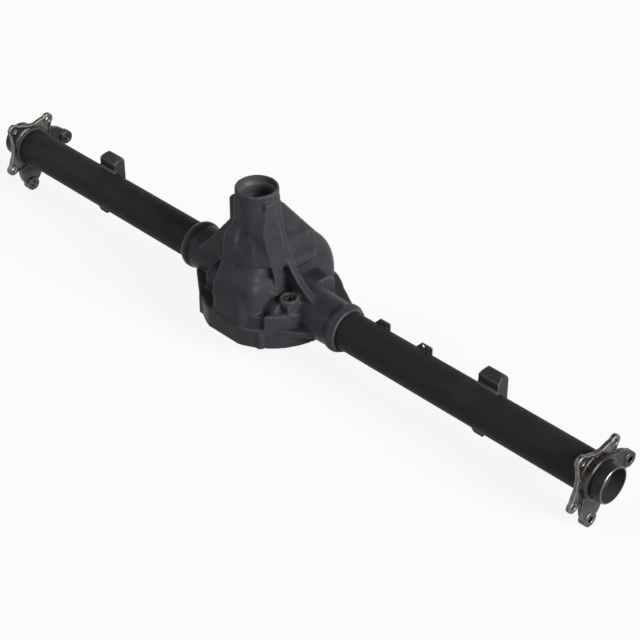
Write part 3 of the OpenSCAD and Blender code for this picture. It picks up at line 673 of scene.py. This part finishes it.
# %% Seats and tabs
SEAT_WALL = (33.0, 53.0)
WALL_T, WALL_IN = 4.0, 3.0
FILL_HALF, FILL_BACK, HOLE_SHARE = 6.0, 0.3, 0.55
tube_r = float(box_mm("right_tube")[1][2])


def press_seat(side):
    """A seat with a wall at each end, SEAT_WALL from the axis."""
    low, high = box_mm(side + "_spring_seat")
    walls = [rounded_block((low[0] + WALL_IN, low[1], end * SEAT_WALL[0]),
                           (high[0] - WALL_IN, low[1] + WALL_T, end * SEAT_WALL[1])) for end in (-1, 1)]
    soft_copy([side + "_spring_seat"], side + "_pressed_seat", 1.3, 3, seat_finish, extras=walls)


def saw_tab(side):
    """A tab with its hole filled nearly flush."""
    low, high = box_mm(side + "_rear_tab")
    middle = (low + high) / 2
    middle[2] = -tube_r - HOLE_SHARE * (-low[2] - tube_r)
    half = np.array([FILL_HALF, (high[1] - low[1]) / 2 - FILL_BACK, FILL_HALF])
    soft_copy([side + "_rear_tab"], side + "_sawn_tab", 1.0, 2, bracket_finish,
              extras=[rounded_block(middle - half, middle + half)])


print("tube radius:", round(tube_r, 2), "mm")

# %% [markdown]
# ## Bearing caps, hose brackets and plug
# The caps are cast like the carrier, but oiled instead of painted. The hose brackets are cut from
# sheet, with studs in some of their holes. The fill plug is screwed in and painted with the carrier.
# All are soft copies. Nothing on the caps or the plug is bare, so their mark is 0 everywhere.

# %% Caps, brackets and plug
STUDS = {"inner": (-2, 10), "outer": (10,)}
STUD_HALF, STUD_OUT, STUD_POWER, HOLE_DOWN = 4.2, 1.5, 0.7, 6.5


def unmarked(piece):
    """Says that no part of a cast piece is bare."""
    carry(piece.data, "bare", np.zeros(len(piece.data.vertices)))


def cast_cap(side):
    """A bearing cap."""
    unmarked(soft_copy([side + "_bearing_cap"], side + "_cast_cap", 1.5, 3, cap_finish))


def cut_bracket(name):
    """A hose bracket with its studs, which lie HOLE_DOWN below its top."""
    low, high = box_mm(name + "_hose_bracket")
    studs = []
    for along in STUDS[name]:
        middle = np.array([(low[0] + high[0]) / 2 + along, low[1], high[2] - HOLE_DOWN])
        studs.append(rounded_block(middle - [STUD_HALF, STUD_OUT, STUD_HALF],
                                   middle + [STUD_HALF, high[1] - low[1], STUD_HALF], STUD_POWER))
    soft_copy([name + "_hose_bracket"], name + "_cut_bracket", 0.7, 2, bracket_finish, extras=studs)


for side in SIDES:
    forge_flange(side)
    press_seat(side)
    saw_tab(side)
    cast_cap(side)
for name in STUDS:
    cut_bracket(name)
unmarked(soft_copy(["fill_plug"], "screwed_plug", 0.7, 2, casting_finish))

# %% [markdown]
# ## Weld beads
# A weld laid by hand is a row of overlapping crescents. A plain rod would miss them, so a bead is a
# surface of two parameters: the length along a path, and the angle round it. The radius swells and
# shrinks with the length, and lags at the sides of the bead, which bends each ripple to a crescent.

# %% The bead surface
LAG = 0.7
THINNEST = 0.05
BLUNTNESS = 8


def bead(path, out, size_mm, closed=False, pitch=0.8, ripple=0.09, around=20):
    """Points and faces of one bead. P(u, v) = path(u) + r(u, v) (cos v side(u) + sin v out(u)), where
    r = size (1 + ripple cos(2 pi (s(u) - LAG size cos^2 v) / (pitch size))), and an open bead's radius
    falls to THINNEST of it at its ends, along a curve of the power BLUNTNESS."""
    path, out = np.asarray(path, float), np.asarray(out, float)
    ahead = np.roll(path, -1, 0) - np.roll(path, 1, 0) if closed else np.gradient(path, axis=0)
    ahead /= np.linalg.norm(ahead, axis=1)[:, None]
    side = np.cross(ahead, out)
    hops = np.linalg.norm(np.diff(path, axis=0), axis=1)
    s = np.concatenate([[0], np.cumsum(hops)])[:, None]
    if closed:
        lap = s[-1, 0] + np.linalg.norm(path[0] - path[-1])
        wave_length = lap / round(lap / (pitch * size_mm))
        taper = 1.0
    else:
        wave_length = pitch * size_mm
        taper = np.maximum(np.sqrt(1 - (2 * s / s[-1] - 1) ** BLUNTNESS), THINNEST)
    v = np.linspace(0, 2 * np.pi, around, endpoint=False)[None, :]
    r = size_mm * taper * (1 + ripple * np.cos(2 * np.pi * (s - LAG * size_mm * np.cos(v) ** 2) / wave_length))
    across = np.cos(v)[..., None] * side[:, None] + np.sin(v)[..., None] * out[:, None]
    points = path[:, None] + r[..., None] * across
    rows = len(path)
    faces = grid_quads(rows, around, closed)[:, ::-1].tolist()
    if not closed:
        faces += [list(range(around)), [(rows - 1) * around + k for k in range(around - 1, -1, -1)]]
    return points.reshape(-1, 3), faces


print("bead surface ready")

# %% [markdown]
# ## Paths and pieces of weld
# A bead runs either round the tube or straight along it, so two kinds of path are enough. The beads of
# one plain weld become one piece. The rings at the flanges stay darker and barer than the painted
# beads at the seats, so there are two finishes, both made as the tube's coat is, with rubbed ridges
# lightened as a painted highlight.

# %% Paths, pieces and finishes of the welds
def ring(x, radius, start=0.0, stop=360.0, count=240):
    """A path round the X axis, by angle from the spring side, and the direction away from the axis."""
    a = np.radians(np.linspace(start, stop, count, endpoint=stop - start < 360))
    out = np.stack([np.zeros_like(a), np.cos(a), np.sin(a)], 1)
    return out * radius + [x, 0, 0], out


def run(x0, x1, y, z, away, count=90):
    """A straight path along X, and one direction away from the metal."""
    x = np.linspace(x0, x1, count)
    away = np.array(away) / np.linalg.norm(away)
    return np.stack([x, np.full(count, y), np.full(count, z)], 1), np.tile(away, (count, 1))


def weld_piece(name, node, beads, material):
    """One piece from several beads, in place of a node's plain welds."""
    points, faces, start = [], [], 0
    for bead_points, bead_faces in beads:
        points.append(bead_points * MM)
        faces += [[k + start for k in face] for face in bead_faces]
        start += len(bead_points)
    mesh = bpy.data.meshes.new(name)
    mesh.from_pydata(np.concatenate(points).tolist(), [], faces)
    mesh.polygons.foreach_set("use_smooth", np.ones(len(faces), bool))
    mesh.materials.append(material)
    mesh.update()
    mark_edges(mesh, 0)
    piece = add_object(name, mesh)
    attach(piece, "root")
    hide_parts(node)
    print(name, "faces:", len(faces))


# Both weld finishes lighten their ridges with wear and a painted highlight.
weld_finish = tube_coat("painted_weld", dark=(0.030, 0.030, 0.032), light=(0.042, 0.042, 0.044), gloss=0.15,
                        wear_and_highlight=(0.14, 0.14, 0.142))
ring_finish = tube_coat("bare_ring_weld", dark=(0.013, 0.013, 0.014), light=(0.019, 0.019, 0.020), gloss=0.25,
                        wear_and_highlight=(0.18, 0.18, 0.18))
print("weld finishes:", weld_finish.name, ring_finish.name)

# %% [markdown]
# ## Where the beads lie
# Each bead follows the corner that it fills: a full ring where a flange meets its tube, straight runs
# along the edges of a seat, short arcs beside a tab, and one run in front of a bracket's foot. Typing
# the corners in would break when a size changes, so they come from the boxes of the plain welds in
# the frame.

# %% Lay the beads at the flanges, seats and tabs
RING_SIZE, RING_OUT, RING_SHARE = 3.5, 1.2, 0.30
SEAT_SIZE, SEAT_DOWN, SEAT_IN, TAB_ROOM = 3.2, 3.0, 1.0, 6.0
FRONT_SIZE, FRONT_GAP, FRONT_UP, FRONT_AWAY, FRONT_RIPPLE = 5.0, 1.5, 1.0, (0, -0.5, 0.85), 0.05
TAB_SIZE, TAB_OUT, TAB_BESIDE = 3.0, 0.8, 0.9
SHORT_COUNT, ARC_COUNT = 40, 50


def on_tube(y):
    """The height of the tube's surface at y."""
    return math.sqrt(tube_r ** 2 - y ** 2)


def weld_flange(side):
    """A ring in the corner between a flange and its tube, RING_SHARE of the plain weld from the flange."""
    low, high = box_mm(side + "_flange_weld")
    inner_x, face_x = (low[0], high[0]) if side == "right" else (high[0], low[0])
    path, out = ring(face_x + RING_SHARE * (inner_x - face_x), tube_r + RING_OUT)
    weld_piece(side + "_flange_bead", side + "_flange_weld", [bead(path, out, RING_SIZE, closed=True)], ring_finish)


def weld_seat(side):
    """Runs along a seat's two rear edges, the lower one beside the tab, and along its front edge."""
    low, high = box_mm(side + "_seat_welds")
    x0, x1 = low[0] + SEAT_IN, high[0] - SEAT_IN
    y = high[1] - SEAT_DOWN
    z = on_tube(y)
    tab_end = box_mm(side + "_rear_tab")[1][0] + TAB_ROOM
    front_y = box_mm(side + "_spring_seat")[0][1] - FRONT_GAP
    front_z = on_tube(front_y) + FRONT_UP
    beads = [bead(*run(x0, x1, y, z, (0, y, z)), SEAT_SIZE),
             bead(*run(tab_end, x1, y, -z, (0, y, -z), SHORT_COUNT), SEAT_SIZE),
             bead(*run(x0, x1, front_y, front_z, FRONT_AWAY), FRONT_SIZE, ripple=FRONT_RIPPLE)]
    weld_piece(side + "_seat_beads", side + "_seat_welds", beads, weld_finish)


def weld_tab(side):
    """An arc round the tube on each side of a tab."""
    low, high = box_mm(side + "_rear_tab")
    start, stop = (-math.degrees(math.acos(y / tube_r)) for y in (low[1], high[1]))
    beads = [bead(*ring(x, tube_r + TAB_OUT, start, stop, ARC_COUNT), TAB_SIZE)
             for x in (low[0] - TAB_BESIDE, high[0] + TAB_BESIDE)]
    weld_piece(side + "_tab_beads", side + "_tab_welds", beads, weld_finish)


for side in SIDES:
    weld_flange(side)
    weld_seat(side)
    weld_tab(side)

# %% Lay the beads at the hose brackets
FOOT_SIZE, FOOT_IN, FOOT_GAP = 3.2, 4.0, 0.8
beads = []
for name in STUDS:
    low, high = box_mm(name + "_hose_bracket")
    path, out = run(low[0] + FOOT_IN, high[0] - FOOT_IN, low[1] - FOOT_GAP, on_tube(low[1]) + FOOT_GAP, (0, -1, 1))
    beads.append(bead(path, out, FOOT_SIZE))
weld_piece("bracket_beads", "bracket_welds", beads, weld_finish)

# %% [markdown]
# ## Finishes for the solids that stay
# The tubes, the stubs and the cap bolts are already the right shape: drawn or turned, with crisp
# edges. A soft copy would only blur them, so they keep their solids and only get a finish.

# %% Dress the solids
FINISHES = {"tube": tube_finish, "tube_end": stub_finish, "cap_bolts": bolt_finish}
for name, node in nodes.items():
    if node.hide_render:
        continue
    ending = max((key for key in FINISHES if name.endswith(key)), key=len)
    for material_slot in node.material_slots:
        material_slot.material = FINISHES[ending]
    print(name, "->", FINISHES[ending].name)

# %% [markdown]
# ## The floor
# The photograph is cut out on white. More light on the part would wash it out, so a wide floor shows
# itself to the camera as nearly white, and stays a plain grey for the light that bounces off it. A
# share of it is always matt, which keeps the part's shadow.

# %% White floor
FLOOR_HALF = 25.0
FLOOR_WHITE, FLOOR_GLOW, FLOOR_GREY = 0.85, 1.04, (0.55, 0.55, 0.56, 1)
WHITE = (1, 1, 1, 1)


def seen_directly(tree):
    """1 where a camera, mirror or glass ray meets the surface, 0 for a bounce of soft light."""
    path = tree.nodes.new("ShaderNodeLightPath").outputs
    both = combine(tree, "MAXIMUM", path["Is Camera Ray"], path["Is Glossy Ray"])
    return combine(tree, "MAXIMUM", both, path["Is Transmission Ray"])


floor_z = cad_box[0][2]
corners = np.array([[-1, -1, 0], [1, -1, 0], [1, 1, 0], [-1, 1, 0]], float) * FLOOR_HALF + [0, 0, floor_z]
floor_mesh = bpy.data.meshes.new("studio_floor")
floor_mesh.from_pydata(corners.tolist(), [], [[0, 1, 2, 3]])
floor = add_object("studio_floor", floor_mesh)
floor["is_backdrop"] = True
floor_material = bpy.data.materials.new("white_floor")
floor_material.use_nodes = True
tree = floor_material.node_tree
tree.nodes.clear()
matt = put(tree, "ShaderNodeBsdfDiffuse", {"Color": FLOOR_GREY}).outputs[0]
glow = put(tree, "ShaderNodeEmission", {"Color": WHITE, "Strength": FLOOR_GLOW}).outputs[0]
shown = combine(tree, "MULTIPLY", seen_directly(tree), FLOOR_WHITE)
mixed = put(tree, "ShaderNodeMixShader", {0: shown, 1: matt, 2: glow}).outputs[0]
put(tree, "ShaderNodeOutputMaterial", {"Surface": mixed})
floor_mesh.materials.append(floor_material)
print("floor at", round(floor_z / MM, 1), "mm")

# %% [markdown]
# ## The studio's sky and lamps
# A studio tent is white at the height of the part and grey overhead, which darkens the tops of the
# tubes and draws light lines along rounded edges. A picture of a studio could give this, but a ramp on
# the height of the sky needs no file. A broad key light stands at the right, and a weaker, cooler one
# at the front left.

# %% Sky
HORIZON, ZENITH, SOFT_SHARE = 1.0, 0.3, 0.36
RAMP_START, RAMP_STOP = 0.05, 0.7
world = bpy.data.worlds.new("studio_world")
world.use_nodes = True
bpy.context.scene.world = world
tree = world.node_tree
tree.nodes.clear()
heading = tree.nodes.new("ShaderNodeTexCoord").outputs["Generated"]
height = put(tree, "ShaderNodeSeparateXYZ", {"Vector": heading}).outputs["Z"]
level = spread(tree, height, HORIZON, ZENITH, start=RAMP_START, stop=RAMP_STOP)
soft_level = combine(tree, "MULTIPLY", level, SOFT_SHARE)
dim = put(tree, "ShaderNodeBackground", {"Strength": soft_level, "Color": WHITE}).outputs[0]
clear = put(tree, "ShaderNodeBackground", {"Strength": level, "Color": WHITE}).outputs[0]
mixed = put(tree, "ShaderNodeMixShader", {0: seen_directly(tree), 1: dim, 2: clear}).outputs[0]
put(tree, "ShaderNodeOutputWorld", {"Surface": mixed})
print("sky from", HORIZON, "at the horizon to", ZENITH, "overhead")

# %% Lamps
def soft_sun(name, towards, spread_degrees, level, colour):
    """A distant round lamp; towards points from the part to it, and level 1 shows white as white."""
    lamp = bpy.data.lights.new(name, "SUN")
    lamp.angle = math.radians(spread_degrees)
    lamp.energy = math.pi * level
    lamp.color = colour
    sun = add_object(name, lamp)
    sun.matrix_world = (-Vector(towards)).to_track_quat("-Z", "Y").to_matrix().to_4x4()
    print(name, "level:", level)


soft_sun("key_light", towards=(0.87, 0.05, 0.42), spread_degrees=30, level=1.6, colour=(1.0, 0.98, 1.0))
soft_sun("fill_light", towards=(-0.7, -0.5, 0.45), spread_degrees=50, level=0.36, colour=(0.84, 0.93, 1.0))

# %% [markdown]
# The Standard view shows each colour about as it is written. The two boxes, of the solids and of the
# dressed part, are gathered in one dictionary, and the dressed one is printed.

# %% Finish
bpy.context.scene.view_settings.view_transform = "Standard"
boxes = {"cad": [list(corner) for corner in cad_box], "visual": [list(corner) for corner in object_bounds()]}
print("dressed box in mm:", [[round(v / MM, 1) for v in corner] for corner in boxes["visual"]])
